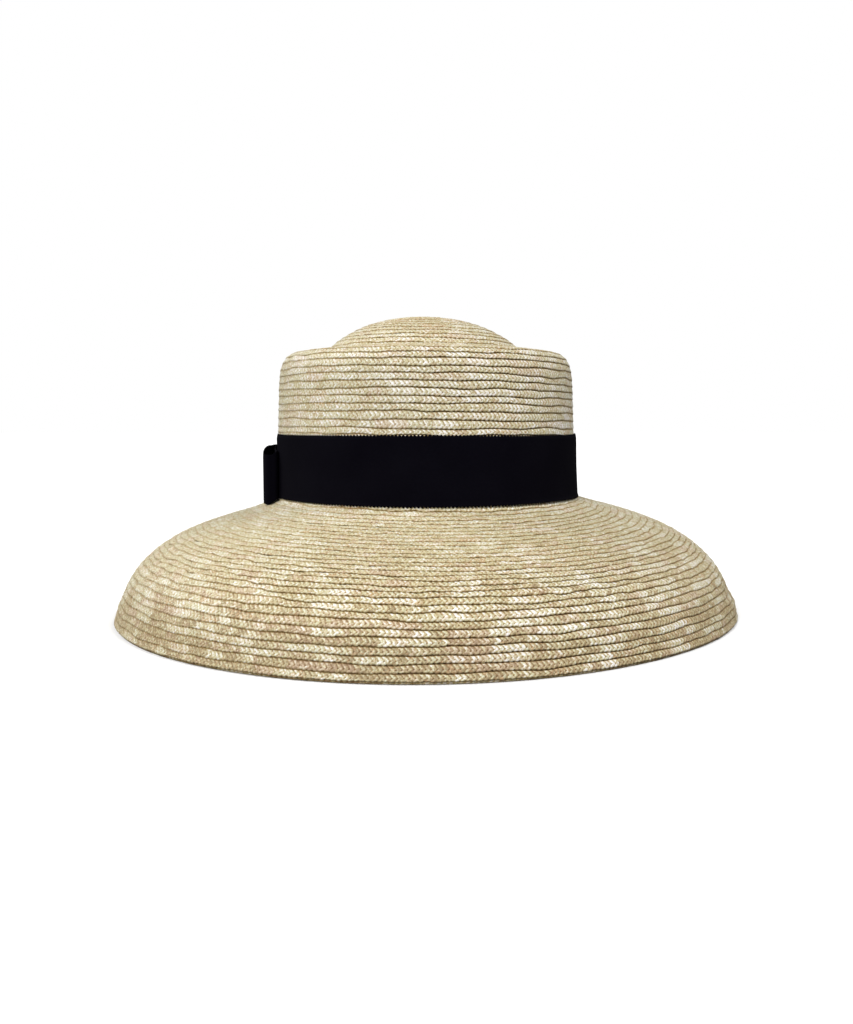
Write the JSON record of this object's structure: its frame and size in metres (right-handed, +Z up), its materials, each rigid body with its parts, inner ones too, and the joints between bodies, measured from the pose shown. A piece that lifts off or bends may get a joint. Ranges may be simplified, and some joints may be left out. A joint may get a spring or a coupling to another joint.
{
  "type": "straw cloche hat with a wide bell-shaped brim, ribbon band and side bow",
  "caption": "Stitched straw plait hat with a low domed crown, a wide bell-shaped brim, a flat ribbon band and a flat side bow; open below for the head.",
  "frame": {"origin": "centre of the rim's outline, on the surface the hat rests on", "axes": "+Z up through the crown, -Y towards the front of the hat, +X towards the wearer's left; the bow is on the -X side"},
  "size_m": [0.3733, 0.3871, 0.178],
  "materials": {
    "straw_plait": "natural wheat straw, satin, with glossy flat strands",
    "straw_edging": "natural wheat straw, satin",
    "grosgrain_ribbon": "matte ribbed weave"
  },
  "bodies": {
    "root": {"crown": "straw_plait", "brim": "straw_plait", "edge_braid": "straw_edging", "hat_band": "grosgrain_ribbon", "bow_loop_front": "grosgrain_ribbon", "bow_loop_back": "grosgrain_ribbon", "bow_knot": "grosgrain_ribbon"}
  },
  "joints": []
}
